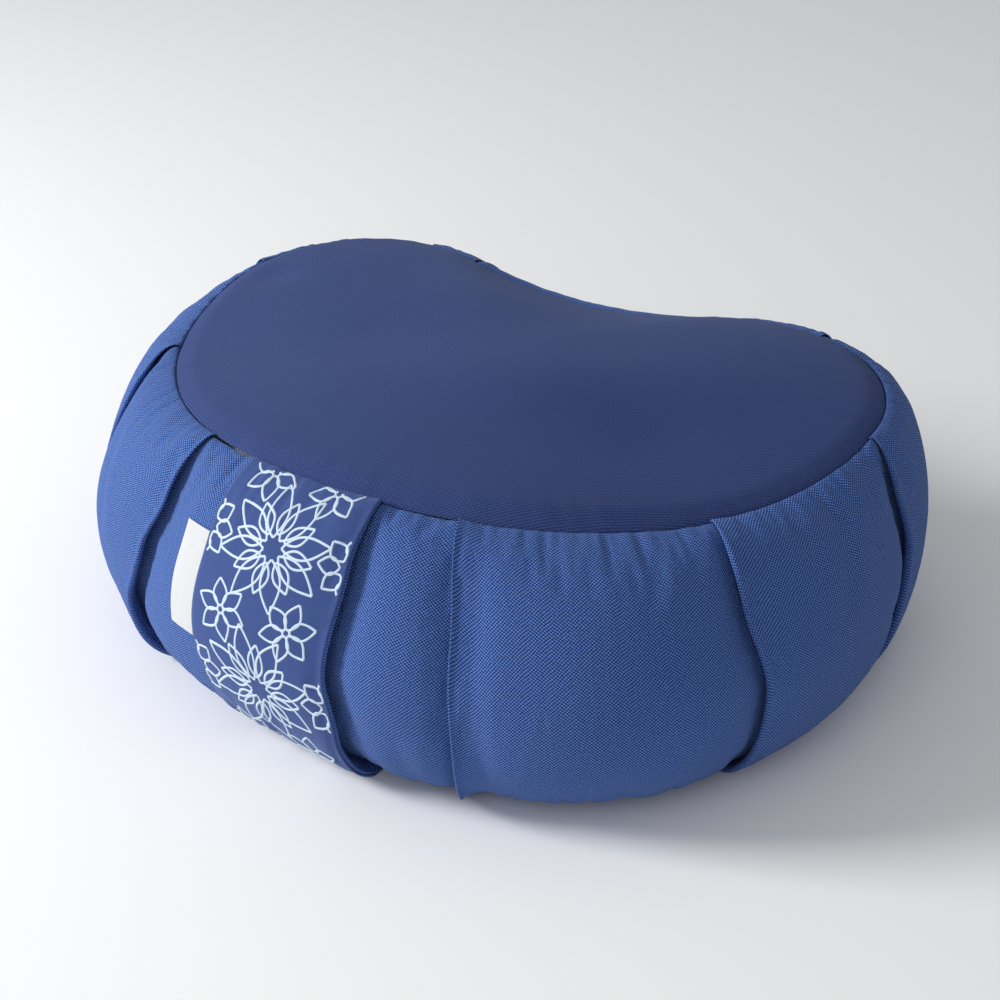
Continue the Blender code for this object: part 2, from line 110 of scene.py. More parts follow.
def outline(s):
    """Centre, outward direction, radius and bend of the seam at s metres from the front's middle."""
    s = np.asarray(s, float)
    s = (s + HALF) % (2 * HALF) - HALF
    side, a = np.where(s < 0, -1.0, 1.0), np.abs(s)
    front, back = a <= FRONT_LENGTH, a > BACK_START
    angle = np.where(front, -pi / 2 + a / FRONT_RADIUS, FRONT_END + (a - FRONT_LENGTH) / LOBE_RADIUS)
    angle = np.where(back, -pi / 2 + BACK_HALF - (a - BACK_START) / BACK_RADIUS, angle)
    cx = side * np.where(front | back, 0.0, LOBE_X)
    cy = np.where(front, FRONT_Y, np.where(back, BACK_Y, LOBE_Y))
    radius = np.where(front, FRONT_RADIUS, np.where(back, BACK_RADIUS, LOBE_RADIUS))
    bend = np.where(back, -1.0, 1.0)
    return cx, cy, side * np.cos(angle) * bend, np.sin(angle) * bend, radius, bend


def periodic(values, s):
    """Smooth curve through values given at equal steps round the seam."""
    count = len(values)
    terms = np.fft.fft(values) / count
    turn = 2 * pi * np.asarray(s, float) / (2 * HALF)
    total = np.full_like(turn, terms[0].real)
    for k in range(1, count // 2):
        total += 2 * (terms[k].real * np.cos(k * turn) - terms[k].imag * np.sin(k * turn))
    return total + terms[count // 2].real * np.cos(count // 2 * turn)


def in_back(s):
    """1 on the hollow back, 0 elsewhere, with a soft change at its ends."""
    return smooth((np.abs((np.asarray(s) + HALF) % (2 * HALF) - HALF) - 0.405) / 0.04)


def bulge(s):
    """How far the wall stands out past the seam."""
    return periodic(BULGES, s) * (1 - in_back(s)) + CAD_BULGE * in_back(s)


def seam_height(s):
    """Height of the top seam above the floor."""
    return periodic(SEAM_HEIGHTS, s)


def bezier(a, b, c, d, t):
    """Cubic curve through a and d, drawn towards b and c."""
    u = 1 - t
    return u**3 * a + 3 * u * u * t * b + 3 * u * t * t * c + t**3 * d


class Skin:
    """A layer of the cushion, the cover or one that lies inside it."""

    def __init__(self, inset=0.0, seam_inset=0.0, drop=0.0, base=CLOTH * 0.5):
        self.inset, self.seam_inset, self.drop, self.base = inset, seam_inset, drop, base

    def tables(self, s):
        """Offset, height and length down the wall, for each column s."""
        s = np.asarray(s, float)[:, None]
        wide, top = bulge(s) - self.inset, seam_height(s) - self.drop
        seam = -self.seam_inset
        back = in_back(s)
        widest = WIDEST * (1 - back) + ZIP_HEIGHT * back
        widest = widest + 0.012 * np.exp(-(((s - 0.29) / 0.06) ** 2))
        flat = 0.006 * (1 - back) + ZIP_FLAT * back
        t = np.linspace(0, 1, TABLE)[None, :]
        rise = 0.002
        depth = wide - seam
        upper_o = bezier(seam, seam + 0.45 * depth, wide, wide, t)
        upper_z = bezier(top, top + rise, widest + flat + REACH, widest + flat, t)
        lower_o = bezier(wide, wide, seam + 0.80 * depth, seam + 0.12 * depth, t)
        lower_z = bezier(widest - flat, widest - flat - REACH, self.base, self.base, t)
        o, z = np.concatenate([upper_o, lower_o], 1), np.concatenate([upper_z, lower_z], 1)
        step = np.hypot(np.diff(o, axis=1), np.diff(z, axis=1))
        length = np.concatenate([np.zeros((len(s), 1)), np.cumsum(step, 1)], 1)
        return o, z, length

    def base_at(self, s, share):
        """Point, normal, metric and length down the wall for arrays s (n) and share (n, m)."""
        o, z, length = self.tables(s)
        n = len(s)
        total = length[:, -1:]
        want = share * total
        small = 2e-4
        out = []
        for shift in (0.0, -small, small):
            at = np.clip(want + shift, 0, total)
            out.append(np.stack([np.interp(at[i], length[i], o[i]) for i in range(n)]))
            out.append(np.stack([np.interp(at[i], length[i], z[i]) for i in range(n)]))
        oo, zz, oa, za, ob, zb = out
        to, tz = ob - oa, zb - za
        size = np.maximum(np.hypot(to, tz), 1e-9)
        no, nz = -tz / size, to / size
        return oo, zz, no, nz, want

    def points(self, s, share, height=0.0):
        """Points (n, m, 3) lifted by height along the wall's normal. s may vary down a column."""
        s = np.asarray(s, float)
        if s.ndim == 1:
            s = np.repeat(s[:, None], share.shape[1], 1)
        middle = s.mean(1)
        oo, zz, no, nz, want = self.base_at(middle, share)
        cx, cy, dx, dy, radius, bend = outline(s)
        o = oo + no * height
        reach = bend * radius + o
        x, y = cx + dx * reach, cy + dy * reach
        z = np.maximum(zz + nz * height, self.base * 0.6)
        metric = np.abs(reach / radius)
        return np.stack([x, y, z], -1), metric, want


COVER = Skin()


# The pleats


def profile_share(share, knots):
    """A smooth curve through (share, value) knots."""
    xs, ys = zip(*knots)
    i = np.clip(np.searchsorted(xs, share, side="right") - 1, 0, len(xs) - 2)
    xs, ys = np.array(xs), np.array(ys)
    t = (share - xs[i]) / (xs[i + 1] - xs[i])
    return ys[i] + (ys[i + 1] - ys[i]) * smooth(t)


RIDGE_KNOTS = {
    LEFT_PLEAT: ((0, 0.22), (0.18, 0.55), (0.55, 1.0), (0.80, 1.25), (1, 0.4)),
    THIN_PLEAT: ((0, 0.4), (0.10, 0.8), (0.5, 1.0), (0.80, 1.9), (1, 0.8)),
    ROLLED_PLEAT: ((0, 0.25), (0.15, 0.75), (0.45, 1.0), (0.68, 0.70), (1, 0.25)),
}
PLAIN_KNOTS = ((0, 0.22), (0.20, 0.8), (0.50, 1.0), (0.80, 0.9), (1, 0.35))


def path_of(pleat, share):
    """Place of a pleat's fold edge along the seam."""
    return profile_share(share, pleat[0])


def ridge_of(pleat, share):
    """Height of a pleat's fold edge, down the wall."""
    return pleat[2] * profile_share(share, RIDGE_KNOTS.get(pleat, PLAIN_KNOTS))


def open_rise(pleat, x, share):
    """Height of the cloth at x metres past a pleat's fold edge; x below 0 is on the fold's own side."""
    width, valley = pleat[3:5]
    high = ridge_of(pleat, share)
    top = high * np.exp(-np.abs(x) / width)
    if width < 0.006:
        top = top - 0.0018 * smooth(share / 0.15) * np.exp(-(((x + 0.011) / 0.006) ** 2))
    grow = smooth(share / 0.2) * (1 - 0.4 * smooth((share - 0.8) / 0.2))
    under = -valley * grow * np.exp(-((np.maximum(x, 0) / 0.013) ** 2)) - 0.0004
    under = under * (1 - smooth((x - 0.02) / 0.02))
    return np.where(x < 0, top, under)


def panel_puff(s, share):
    """How the filling pushes the cloth out between two pleats, with small puckers by the seam."""
    start, stop = np.full_like(share, -BACK_START), np.full_like(share, BACK_START)
    edges = [start, *[path_of(p, share) for p in PLEATS], stop]
    puff = np.zeros_like(share)
    for left, right in zip(edges, edges[1:]):
        inside = (s >= left) & (s < right)
        t = np.clip((s - left) / (right - left), 0, 1)
        size = 0.0052 * np.minimum(1.0, (right - left) / 0.12)
        swell = size * np.sin(pi * t) ** 1.2 * np.sin(pi * np.clip(share, 0, 1)) ** 0.8
        puff = puff + np.where(inside, swell, 0)
    return puff * (1 - in_back(s))


# Slack wrinkles: place along the seam, slope, depth, width, and where on the wall each starts and ends
WALL_CREASES = (
    (0.095, 0.10, 0.0013, 0.0030, 0.02, 0.20),
    (0.142, -0.55, 0.0010, 0.0040, 0.02, 0.30),
    (0.160, -0.65, 0.0008, 0.0040, 0.03, 0.28),
    (0.036, 0.25, 0.0009, 0.0050, 0.55, 0.92),
    (0.118, 0.20, 0.0009, 0.0060, 0.60, 0.95),
    (-0.160, 0.35, 0.0010, 0.0050, 0.15, 0.60),
    (-0.075, -0.30, 0.0007, 0.0045, 0.05, 0.35),
    (0.235, -0.45, 0.0011, 0.0050, 0.05, 0.45),
    (0.262, 0.35, 0.0010, 0.0060, 0.45, 0.90),
    (-0.285, 0.40, 0.0012, 0.0050, 0.05, 0.50),
    (0.355, 0.30, 0.0012, 0.0055, 0.10, 0.60),
    (0.390, -0.35, 0.0009, 0.0050, 0.30, 0.85),
    (-0.395, 0.30, 0.0011, 0.0050, 0.10, 0.70),
)


def creases(s, share, length):
    """Small folds: puckers that run down from the seam and slack wrinkles on the wall."""
    down = np.exp(-length / 0.016)
    waves = np.sin(s * 410 + 1.3 * np.sin(s * 97)) + 0.7 * np.sin(s * 233 + 0.8)
    h = 0.00042 * down * waves * (1 - np.exp(-length / 0.003))
    for place, slope, depth, width, top, bottom in WALL_CREASES:
        along = smooth((share - top) / 0.12) * (1 - smooth((share - bottom + 0.15) / 0.15))
        away = s - place - slope * (share - top) * 0.1
        fold = np.exp(-((away / width) ** 2))
        bank = 0.6 * np.exp(-(((away - 2.2 * width) / (1.4 * width)) ** 2))
        h = h - depth * along * (fold - bank)
    back = in_back(s)
    ripple = 0.0006 * np.sin(s * 160 + 2) * np.exp(-(((share - 0.28) / 0.12) ** 2))
    return h * (1 - 0.6 * back) + ripple * back


WRINKLES = {"field": None}
SIM_COLUMNS, SIM_ROWS, SIM_FRAMES, SIM_SCALE = 360, 60, 18, 10.0
MOST_IN, MOST_OUT = 0.006, 0.009  # caps on how far the simulation may move the wall


def simulate_wall():
    """Blows the wall up as cloth between its seams and pleats, and keeps how far it moved out or in.

    The cloth is a little longer than the plain wall, so it wrinkles where it is held.
    """
    s = np.linspace(-HALF, HALF, SIM_COLUMNS + 1)
    share = np.repeat(np.linspace(0, 1, SIM_ROWS)[None, :], SIM_COLUMNS + 1, 0)
    plain, metric, _ = COVER.points(s, share, np.zeros_like(share))
    lifted = COVER.points(s, share, np.full_like(share, 0.001))[0]
    normals = (lifted - plain) / 0.001
    normals[..., 2] = np.where(plain[..., 2] < 0.004, 0, normals[..., 2])
    patch = mesh_from_grid("wall_patch", plain[:-1] * SIM_SCALE, closed=True)
    hold = np.zeros((SIM_COLUMNS, SIM_ROWS))
    hold[:, 0] = hold[:, -4:] = 1
    for pleat in PLEATS:
        away = np.abs(s[:-1, None] - path_of(pleat, share[:-1])) * metric[:-1]
        hold = np.maximum(hold, 1 - smooth((away - 0.003) / 0.003))
    hold = np.maximum(hold, in_back(s[:-1])[:, None])
    group = patch.vertex_groups.new(name="held")
    for weight in np.unique(hold.round(2)):
        where = np.nonzero(hold.round(2).ravel() == weight)[0]
        if weight > 0:
            group.add([int(i) for i in where], float(weight), "REPLACE")
    cloth = patch.modifiers.new("cloth", "CLOTH")
    cloth.point_cache.frame_start, cloth.point_cache.frame_end = 1, SIM_FRAMES
    about = cloth.settings
    about.quality, about.mass, about.air_damping = 6, 0.01, 2.0
    about.tension_stiffness = about.compression_stiffness = 30
    about.shear_stiffness, about.bending_stiffness = 8, 0.6
    about.use_pressure, about.uniform_pressure_force = True, 6.0
    about.shrink_min = -0.022
    about.vertex_group_mass, about.pin_stiffness = "held", 1.0
    about.effector_weights.gravity = 0.15
    cloth.collision_settings.use_collision = cloth.collision_settings.use_self_collision = False
    scene = bpy.context.scene
    scene.frame_start, scene.frame_end = 1, SIM_FRAMES
    for number in range(1, SIM_FRAMES + 1):
        scene.frame_set(number)
    blown = patch.evaluated_get(bpy.context.evaluated_depsgraph_get()).to_mesh()
    now = np.empty(len(blown.vertices) * 3, np.float32)
    blown.vertices.foreach_get("co", now)
    scene.frame_set(1)
    now = now.reshape(SIM_COLUMNS, SIM_ROWS, 3) / SIM_SCALE
    moved = ((now - plain[:-1]) * normals[:-1]).sum(-1)
    moved = np.clip(moved, -MOST_IN, MOST_OUT)
    bpy.data.objects.remove(patch)
    return np.concatenate([moved, moved[:1]], 0)


def simulated(s, share):
    """The simulated cloth's own movement along the normal, read from its grid."""
    field = WRINKLES["field"]
    if field is None:
        return 0.0
    count, rows = field.shape
    a = (np.asarray(s) + HALF) / (2 * HALF) * (count - 1)
    b = share * (rows - 1)
    i, j = np.clip(a.astype(int), 0, count - 2), np.clip(b.astype(int), 0, rows - 2)
    u, v = a - i, b - j
    return (
        field[i, j] * (1 - u) * (1 - v)
        + field[i + 1, j] * u * (1 - v)
        + field[i, j + 1] * (1 - u) * v
        + field[i + 1, j + 1] * u * v
    )


def metric_at(s, share):
    """Cloth metres per metre of seam."""
    return COVER.points(s, share)[1]


def seam_groove(away):
    """How deep the cloth dips at this distance from a seam."""
    return 0.0017 * np.exp(-away / 0.0013)


def lift_at(s, share, metric, length, own=None):
    """Height of the outer cloth over the plain wall. own is the pleat whose fold side s is on."""
    h = panel_puff(s, share) + creases(s, share, length) + simulated(s, share)
    for pleat in PLEATS:
        x = (s - path_of(pleat, share)) * pleat[1] * metric
        if pleat is own:
            x = np.minimum(x, -1e-7)
        h = h + open_rise(pleat, x, share)
    return h - seam_groove(length)


def wall_columns():
    """Columns of the wall in order round the seam: (pleat or None, kind, place, left pleat, right pleat)."""
    columns = []
    fine = np.array([6, 5, 4.2, 3.4, 2.7, 2.0, 1.4, 0.9, 0.5, 0.2]) / 1000
    for k in range(len(PLEATS) + 1):
        left = PLEATS[k - 1] if k else None
        right = PLEATS[k] if k < len(PLEATS) else None
        reach = (right[0][0][1] if right else BACK_START) - (left[0][0][1] if left else -BACK_START)
        columns += [(None, "panel", t, left, right) for t in np.linspace(0, 1, int(reach / 0.0013))]
        if right is None:
            break
        pleat = right
        own = [(pleat, "own", -x, None, None) for x in fine]
        fold = [(pleat, "fold", t, None, None) for t in np.linspace(0, 1, 9)]
        under = [(pleat, "under", t, None, None) for t in np.linspace(0.12, 0.94, 7)]
        inner = [(pleat, "inner", t, None, None) for t in np.linspace(0, 1, 4)]
        hidden = [(pleat, "hidden", t, None, None) for t in np.linspace(0.10, 1, 7)]
        other = [(pleat, "other", x, None, None) for x in fine[::-1]]
        run = own + fold + under + inner + hidden + other
        columns += run if pleat[1] > 0 else run[::-1]
    return columns


def rows():
    """Shares of the way down the wall, close together by the top seam."""
    near = np.array([0, 0.4, 0.9, 1.5, 2.2, 3.0, 4.0, 5.2, 6.6]) / 210
    return np.concatenate([near, np.linspace(8.2 / 210, 1, 118)])


def wall_mesh_points():
    """Grid of wall points with its pleats folded, and the cloth coordinates for the weave."""
    share_row = rows()
    columns = wall_columns()
    n, m = len(columns), len(share_row)
    share = np.repeat(share_row[None, :], n, 0)
    row = share_row
    s = np.empty((n, m))
    for i, (pleat, kind, t, left, right) in enumerate(columns):
        if kind == "panel":
            start = path_of(left, row) + PLEAT_ZONE if left else np.full(m, -BACK_START)
            stop = path_of(right, row) - PLEAT_ZONE if right else np.full(m, BACK_START)
            s[i] = start + (stop - start) * t
        else:
            s[i] = path_of(pleat, row)
    plain = metric_at(s, share)
    h = np.zeros((n, m))
    length = share * COVER.tables(s.mean(1))[2][:, -1:]
    for i, (pleat, kind, x, _, _) in enumerate(columns):
        if kind == "panel":
            continue
        turn = pleat[1] / plain[i]
        place = path_of(pleat, row)
        high = ridge_of(pleat, row)
        if kind in ("own", "other"):
            s[i] = place + x * turn
            continue
        round_fold = np.clip(pleat[5] * high, 0.00035, 0.0027)
        lap = TUCK * (1 - 0.35 * np.sin(pi * row)) if pleat[3] > 0.006 else 0.006 + 0 * row
        floor_h = open_rise(pleat, np.full_like(row, 1e-6), row) - 0.0010
        edge_h = high - 2 * round_fold
        if kind == "fold":
            s[i] = place + round_fold * sin(pi * x) * turn
            h[i] = -round_fold * (1 - cos(pi * x))
        elif kind == "under":
            s[i] = place - lap * x * turn
            h[i] = (edge_h + (floor_h + 0.0007 - edge_h) * x**0.8) - high * np.exp(-lap * x / pleat[3])
        elif kind == "inner":
            s[i] = place - (lap + 0.0003 * sin(pi * x)) * turn
            h[i] = floor_h + 0.0007 - 0.0009 * x - high * np.exp(-lap / pleat[3])
        else:
            s[i] = place - lap * (1 - x) * turn
            h[i] = floor_h - 0.0002 + 0.0010 * x - high * np.exp(-lap * (1 - x) / pleat[3])
    total = np.empty((n, m))
    for i, (pleat, kind, *_) in enumerate(columns):
        pick = pleat if kind in ("own", "fold", "under", "inner", "hidden") else None
        at = slice(i, i + 1)
        total[i] = lift_at(s[at], share[at], plain[at], length[at], own=pick)[0] + h[i]
    points = COVER.points(s, share, total)[0]
    # cloth coordinates: metres along the row from the panel's middle, and metres down the wall
    step = np.linalg.norm(np.diff(points, axis=0), axis=2)
    along = np.concatenate([np.zeros((1, m)), np.cumsum(step, 0)], 0)
    breaks = [0] + [i for i, c in enumerate(columns) if c[1] == "inner" and c[2] == 0] + [n]
    threads = np.empty_like(along)
    for a, b in zip(breaks, breaks[1:]):
        mid = (a + b) // 2
        threads[a:b] = along[a:b] - along[mid][None, :]
    drop = np.linalg.norm(np.diff(points, axis=1), axis=2)
    down = np.concatenate([np.zeros((n, 1)), np.cumsum(drop, 1)], 1)
    return points, np.stack([threads, down, 0 * down], -1)


# Meshes


def mesh_from_grid(name, points, threads=None, closed=False, mats=()):
    """A smooth mesh from a grid of points (n, m, 3)."""
    n, m = points.shape[:2]
    i = np.arange(n if closed else n - 1)
    j = np.arange(m - 1)
    a = (i[:, None] * m + j[None, :]).ravel()
    b = (((i + 1) % n)[:, None] * m + j[None, :]).ravel()
    faces = np.stack([a, a + 1, b + 1, b], 1)
    return mesh_from(name, points.reshape(-1, 3), faces, threads, mats)


def mesh_from(name, points, faces, threads=None, mats=()):
    """A smooth mesh that carries the cloth coordinates for its weave."""
    mesh = bpy.data.meshes.new(name)
    mesh.from_pydata([tuple(p) for p in points.tolist()], [], faces.tolist())
    if threads is not None:
        layer = mesh.attributes.new("thread", "FLOAT_VECTOR", "POINT")
        layer.data.foreach_set("vector", threads.reshape(-1, 3).astype(np.float32).ravel())
    mesh.update()
    mesh.shade_smooth()
    made = bpy.data.objects.new(name, mesh)
    bpy.context.scene.collection.objects.link(made)
    for mat in mats:
        mesh.materials.append(mat)
    return made


def outward(made):
    """Turns the faces of an open surface away from the middle of the cushion."""
    mesh = made.data
    centre = Vector((0, 0.0, 0.06))
    total = sum(p.area * p.normal.dot(p.center - centre) for p in mesh.polygons)
    if total < 0:
        mesh.flip_normals()
    return made


def even_faces(made):
    """Makes the faces of each separate shape in a mesh point the same way."""
    bm = bmesh.new()
    bm.from_mesh(made.data)
    bmesh.ops.recalc_face_normals(bm, faces=bm.faces[:])
    bm.to_mesh(made.data)
    bm.free()


# Materials


def node_material(name):
    """A material with its tree and its shader."""
    made = bpy.data.materials.new(name)
    made.use_nodes = True
    tree = made.node_tree
    shader = tree.nodes["Principled BSDF"]
    return made, tree, shader


class Wires:
    """Small helper that adds shader nodes and links them."""

    def __init__(self, tree):
        self.tree = tree

    def add(self, kind, **values):
        made = self.tree.nodes.new(kind)
        for key, value in values.items():
            setattr(made, key, value)
        return made

    def feed(self, socket, value):
        if hasattr(value, "is_output"):
            self.tree.links.new(value, socket)
        elif hasattr(value, "__len__"):
            opaque = len(value) == 3 and len(socket.default_value) == 4
            socket.default_value = (*value, 1) if opaque else value
        else:
            socket.default_value = value

    def math(self, operation, a, b=0.0, clamp=False):
        made = self.add("ShaderNodeMath", operation=operation, use_clamp=clamp)
        self.feed(made.inputs[0], a)
        self.feed(made.inputs[1], b)
        return made.outputs[0]

    def mix(self, share, a, b):
        made = self.add("ShaderNodeMix", data_type="RGBA")
        self.feed(made.inputs["Factor"], share)
        self.feed(made.inputs[6], a)
        self.feed(made.inputs[7], b)
        return made.outputs[2]

    def noise(self, vector, scale, detail=2.0):
        made = self.add("ShaderNodeTexNoise")
        self.feed(made.inputs["Vector"], vector)
        made.inputs["Scale"].default_value = scale
        made.inputs["Detail"].default_value = detail
        return made.outputs["Fac"]

    def thread(self):
        made = self.add("ShaderNodeAttribute", attribute_name="thread")
        return made.outputs["Vector"]

    def split(self, vector):
        made = self.add("ShaderNodeSeparateXYZ")
        self.feed(made.inputs[0], vector)
        return made.outputs

    def bump(self, height, strength, distance):
        made = self.add("ShaderNodeBump")
        made.inputs["Strength"].default_value = strength
        made.inputs["Distance"].default_value = distance
        self.feed(made.inputs["Height"], height)
        return made.outputs["Normal"]


MOTTLE = 0.16  # most that a darker colour is mixed into a canvas's cloudy patches


def canvas(name, colour, lit_thread_colour, pitch_x, pitch_y, depth=0.00022, sheen=0.25, contrast=0.5, middle=0.5):
    """Plain-woven cotton canvas whose threads follow the cloth, with painted highlight on the thread tops
    and painted shade in the gaps between them.
    """
    made, tree, shader = node_material(name)
    w = Wires(tree)
    place = w.thread()
    slub = w.noise(place, 900, 1.0)
    wander = w.noise(place, 60, 2.0)
    x, y, _ = w.split(place)
    x = w.math("ADD", x, w.math("MULTIPLY", wander, 0.0006))
    y = w.math("ADD", y, w.math("MULTIPLY", wander, 0.0005))
    across = w.math("COSINE", w.math("MULTIPLY", x, pi / pitch_x))
    down = w.math("COSINE", w.math("MULTIPLY", y, pi / pitch_y))
    checks = w.math("MULTIPLY", across, down)
    gaps = w.math("MAXIMUM", w.math("ABSOLUTE", across), w.math("ABSOLUTE", down))
    height = w.math("ADD", w.math("MULTIPLY", checks, 0.5), w.math("MULTIPLY", gaps, 0.5))
    height = w.math("ADD", height, w.math("MULTIPLY", slub, 0.5))
    # painted highlight and shade: the colour goes to the lit colour on the high thread tops and to the dark
    # one in the low gaps; the slub adds random tone
    tone = w.math("MULTIPLY_ADD", checks, 0.5 * contrast)
    tone.node.inputs[2].default_value = middle
    tone = w.math("ADD", tone, w.math("MULTIPLY", w.math("SUBTRACT", slub, 0.5), 0.5 * contrast), clamp=True)
    mottled = w.noise(place, 14, 3.0)
    base = w.mix(tone, colour, lit_thread_colour)
    darker = tuple(0.62 * c for c in colour)
    base = w.mix(w.math("MULTIPLY", mottled, MOTTLE), base, darker)
    w.feed(shader.inputs["Base Color"], base)
    shader.inputs["Roughness"].default_value = 0.92
    shader.inputs["Sheen Weight"].default_value = sheen
    shader.inputs["Sheen Roughness"].default_value = 0.45
    shader.inputs["Sheen Tint"].default_value = (0.55, 0.68, 1.0, 1)
    shader.inputs["Specular IOR Level"].default_value = 0.22
    w.feed(shader.inputs["Normal"], w.bump(height, 0.85, depth))
    return made


def plain_thread(name, colour, roughness=0.75, sheen=0.2):
    """Smooth sewing thread, tape or paper-like cloth, with a fine grain."""
    made, tree, shader = node_material(name)
    w = Wires(tree)
    place = w.add("ShaderNodeTexCoord").outputs["Object"]
    grain = w.noise(place, 1400, 2.0)
    darker = tuple(0.6 * c for c in colour)
    w.feed(shader.inputs["Base Color"], w.mix(w.math("MULTIPLY", grain, 0.35), colour, darker))
    shader.inputs["Roughness"].default_value = roughness
    shader.inputs["Sheen Weight"].default_value = sheen
    w.feed(shader.inputs["Normal"], w.bump(grain, 0.5, 0.0001))
    return made


def metal(name):
    """Nickel plate with a slightly uneven shine."""
    made, tree, shader = node_material(name)
    w = Wires(tree)
    place = w.add("ShaderNodeTexCoord").outputs["Object"]
    worn = w.noise(place, 700, 3.0)
    w.feed(shader.inputs["Base Color"], w.mix(worn, (0.66, 0.65, 0.62), (0.52, 0.51, 0.49)))
    w.feed(shader.inputs["Roughness"], w.math("MULTIPLY_ADD", worn, 0.25))
    shader.inputs["Roughness"].links[0].from_node.inputs[2].default_value = 0.2
    shader.inputs["Metallic"].default_value = 1.0
    return made


def hulls(name):
    """Loose brown husks, darker towards the gaps between them as painted shade."""
    made, tree, shader = node_material(name)
    w = Wires(tree)
    place = w.add("ShaderNodeTexCoord").outputs["Object"]
    cells = w.add("ShaderNodeTexVoronoi")
    w.feed(cells.inputs["Vector"], place)
    cells.inputs["Scale"].default_value = 260
    near = cells.outputs["Distance"]
    # painted shade: the colour darkens from each husk's middle towards the low gaps between husks
    w.feed(shader.inputs["Base Color"], w.mix(near, (0.085, 0.048, 0.028), (0.016, 0.009, 0.006)))
    shader.inputs["Roughness"].default_value = 0.65
    w.feed(shader.inputs["Normal"], w.bump(w.math("SUBTRACT", 1.0, near), 1.0, 0.002))
    return made


# in each pair the second colour is the painted highlight on the thread tops, the first the painted shade in
# the gaps of the weave
BLUE, BLUE_LIT_THREADS = (0.001, 0.012, 0.110), (0.150, 0.300, 0.750)
# painted shade: the top panel's canvas is a darker copy of the wall's canvas, for the top that takes less of
# the light
SHADED_TOP_BLUE, SHADED_TOP_LIT_THREADS = (0.010, 0.020, 0.080), (0.056, 0.094, 0.285)
cover_cloth = canvas(
    "cover_canvas", BLUE, BLUE_LIT_THREADS, 0.00092, 0.00080, depth=0.00034, contrast=1.25, middle=0.36, sheen=0.12
)
shaded_top_cloth = canvas(
    "cover_canvas_top_painted_shade", SHADED_TOP_BLUE, SHADED_TOP_LIT_THREADS, 0.00088, 0.00070, depth=0.00020, contrast=1.0, sheen=0.10
)
band_cloth = canvas(
    "band_ribbon", (0.030, 0.058, 0.190), (0.055, 0.095, 0.28), 0.0006, 0.0005, depth=0.00012, contrast=0.4
)
calico = canvas(
    "liner_calico", (0.62, 0.55, 0.42), (0.80, 0.74, 0.62), 0.0005, 0.0005, depth=0.0001, sheen=0.1
)
white_thread = plain_thread("embroidery_thread", (0.56, 0.68, 0.80), 0.6, 0.2)
label_cloth = canvas(
    "label_cotton", (0.50, 0.51, 0.52), (0.66, 0.67, 0.68), 0.00035, 0.00035, depth=0.00006, sheen=0.1
)
blue_thread = plain_thread("seam_thread", (0.04, 0.075, 0.22))
tape_cloth = canvas(
    "zip_tape_cloth", (0.020, 0.038, 0.12), (0.045, 0.075, 0.20), 0.0005, 0.0005, depth=0.0001
)
coil_nylon = plain_thread("zip_coil_nylon", (0.022, 0.040, 0.13), 0.35, 0.0)
pale_tape = canvas(
    "liner_tape_cloth", (0.60, 0.57, 0.50), (0.78, 0.75, 0.68), 0.0005, 0.0005, depth=0.0001
)
pale_coil = plain_thread("liner_coil_nylon", (0.75, 0.72, 0.65), 0.35, 0.0)
nickel = metal("zip_nickel")


# Panels


def panel_points(skin):
    """Rings of a top panel, from the seam to the middle."""
    count = int(2 * HALF / 0.0018) if skin is COVER else 300
    s = np.linspace(-HALF, HALF, count, endpoint=False)
    near = np.array([0, 0.5, 1.1, 1.8, 2.6, 3.6, 4.8]) / 130
    ring = np.concatenate([near, np.linspace(6.4 / 130, 1, 62 if skin is COVER else 24)])
    cx, cy, dx, dy, radius, bend = outline(s)
    seam = -skin.seam_inset
    reach = bend * radius + seam
    ex, ey = cx + dx * reach, cy + dy * reach
    scale = (1 - ring)[None, :]
    x = PANEL_CENTRE[0] + (ex[:, None] - PANEL_CENTRE[0]) * scale
    y = PANEL_CENTRE[1] + (ey[:, None] - PANEL_CENTRE[1]) * scale
    inset = np.hypot(ex - PANEL_CENTRE[0], ey - PANEL_CENTRE[1])[:, None] * ring[None, :]
    level = float(np.mean(seam_height(s)))
    edge = seam_height(s)[:, None]
    z = edge + (level - edge) * smooth(ring[None, :] / 0.8) - skin.drop
    z = z + CROWN * (1 - scale**CROWN_POWER)
    if skin is COVER:
        roll = 0.0024 * np.exp(-(((s[:, None] - 0.09) / 0.07) ** 2)) * (1 - smooth((inset - 0.012) / 0.05))
        z = z + (0.0022 + roll) * smooth(inset / 0.011) - seam_groove(inset)
        puckers = np.sin(s * 370 + 1.7 * np.sin(s * 61)) + 0.8 * np.sin(s * 205 + 2)
        z = z + 0.00022 * puckers[:, None] * np.exp(-inset / 0.011) * (1 - np.exp(-inset / 0.003))
        z = z + top_rolls(x, y)
    return np.stack([x, y, z], -1)


def top_rolls(x, y):
    """The low swells and slack creases of the sat-on top."""
    h = 0.0022 * np.sin(x * 17 + 0.6) * np.cos(y * 21 - 0.4)
    h = h + 0.0011 * np.sin(x * 41 + y * 23 + 1.1) + 0.0008 * np.sin(x * 29 - y * 53)
    inside = smooth((0.16 - np.hypot(x, (y - 0.03) * 1.3)) / 0.10)
    dimple = np.exp(-(((x + 0.165) / 0.016) ** 2) - (((y - 0.055) / 0.012) ** 2))
    low = np.exp(-(((x - 0.105) / 0.030) ** 2) - (((y + 0.02) / 0.030) ** 2))
    return h * inside - 0.0022 * dimple - 0.0016 * low


def closed_panel(name, points, mats):
    """A panel mesh whose last ring is one point."""
    threads = np.stack([points[..., 0], points[..., 1], 0 * points[..., 0]], -1)
    return mesh_from_grid(name, points, threads, closed=True, mats=mats)


# Build the cover

WRINKLES["field"] = simulate_wall()

